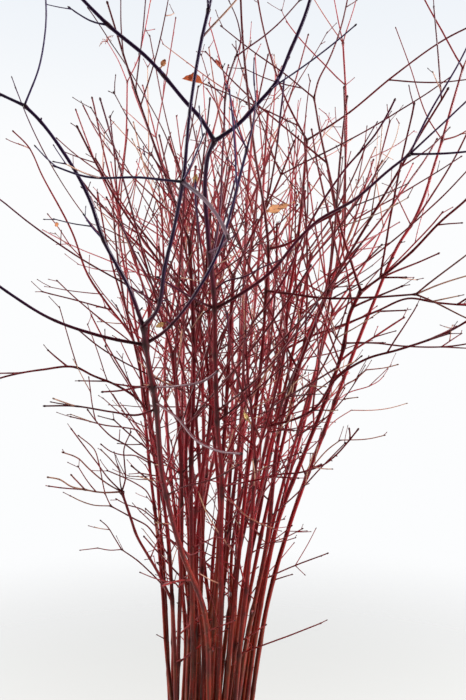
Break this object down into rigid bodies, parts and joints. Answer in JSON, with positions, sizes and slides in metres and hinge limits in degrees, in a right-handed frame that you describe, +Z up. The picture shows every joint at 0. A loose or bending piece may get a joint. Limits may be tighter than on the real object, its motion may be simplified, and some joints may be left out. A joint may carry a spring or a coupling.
{
  "type": "bunch of siberian dogwood stems in a floor vase",
  "caption": "Tall bunch of bare, forked red dogwood canes with side twigs and a few dried leaves, standing in a plain bellied floor vase.",
  "frame": {"origin": "middle of the vase's flat underside, on the surface that it stands on", "axes": "+Z up along the vase's axis, +X to the right and +Y away from a viewer who stands in front"},
  "size_m": [0.8749, 0.8833, 1.8582],
  "materials": {
    "glaze": "satin pale glaze",
    "water": "clear water",
    "bark": "smooth red bark with dark nodes",
    "dried_leaf": "dry, curled"
  },
  "bodies": {
    "root": {"vase": "glaze", "water": "water", "cane_01": "bark", "cane_02": "bark", "cane_03": "bark", "cane_04": "bark", "cane_05": "bark", "cane_06": "bark", "cane_07": "bark", "cane_08": "bark", "cane_09": "bark", "cane_10": "bark", "cane_11": "bark", "cane_12": "bark", "cane_13": "bark", "cane_14": "bark", "cane_15": "bark", "cane_16": "bark", "cane_17": "bark", "cane_18": "bark", "cane_19": "bark", "cane_20": "bark", "cane_21": "bark", "cane_22": "bark", "cane_23": "bark", "cane_24": "bark", "cane_25": "bark", "cane_26": "bark", "cane_27": "bark", "cane_28": "bark", "cane_29": "bark", "cane_30": "bark", "cane_31": "bark", "cane_32": "bark", "cane_33": "bark", "cane_34": "bark", "cane_35": "bark", "cane_36": "bark", "cane_37": "bark", "cane_38": "bark", "leaf_1": "dried_leaf", "leaf_2": "dried_leaf", "leaf_3": "dried_leaf", "leaf_4": "dried_leaf", "leaf_5": "dried_leaf", "leaf_6": "dried_leaf", "leaf_7": "dried_leaf", "leaf_8": "dried_leaf"}
  },
  "joints": []
}
